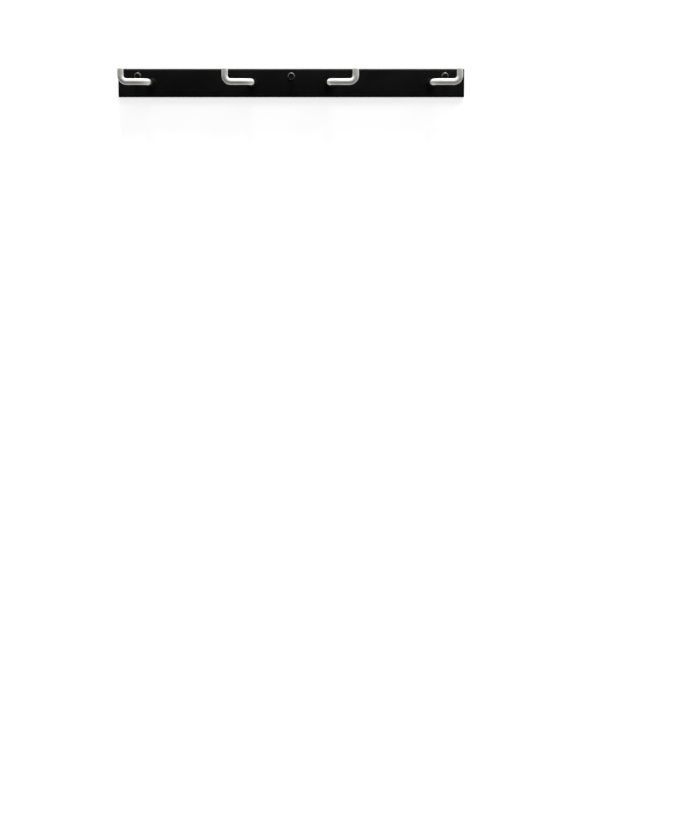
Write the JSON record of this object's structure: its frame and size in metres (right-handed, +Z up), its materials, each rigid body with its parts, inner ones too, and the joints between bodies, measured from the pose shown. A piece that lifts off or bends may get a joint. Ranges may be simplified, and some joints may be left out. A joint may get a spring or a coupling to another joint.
{
  "type": "bicycle wall rack",
  "caption": "Wall rack for bicycles: black steel channel rail with bent steel hooks in white vinyl sleeves, bolted to studs.",
  "frame": {"origin": "where the middle lag bolt's axis meets the wall", "axes": "+X along the rail to the right as seen from the room, +Y into the wall, +Z up"},
  "size_m": [0.915, 0.252, 0.0765],
  "materials": {
    "rail_black": "satin powder coat",
    "rod_black": "satin powder coat",
    "vinyl_white": "semi-gloss soft vinyl",
    "hardware_black": "black zinc",
    "lag_black": "black zinc"
  },
  "bodies": {
    "root": {"rail": "rail_black", "hook_rod_1": "rod_black", "hook_sleeve_1": "vinyl_white", "front_nut_1": "hardware_black", "front_washer_1": "hardware_black", "back_washer_1": "hardware_black", "back_nut_1": "hardware_black", "hook_rod_2": "rod_black", "hook_sleeve_2": "vinyl_white", "front_nut_2": "hardware_black", "front_washer_2": "hardware_black", "back_washer_2": "hardware_black", "back_nut_2": "hardware_black", "hook_rod_3": "rod_black", "hook_sleeve_3": "vinyl_white", "front_nut_3": "hardware_black", "front_washer_3": "hardware_black", "back_washer_3": "hardware_black", "back_nut_3": "hardware_black", "hook_rod_4": "rod_black", "hook_sleeve_4": "vinyl_white", "front_nut_4": "hardware_black", "front_washer_4": "hardware_black", "back_washer_4": "hardware_black", "back_nut_4": "hardware_black", "lag_bolt_left": "lag_black", "lag_washer_left": "lag_black", "lag_bolt_centre": "lag_black", "lag_washer_centre": "lag_black", "lag_bolt_right": "lag_black", "lag_washer_right": "lag_black"}
  },
  "joints": []
}
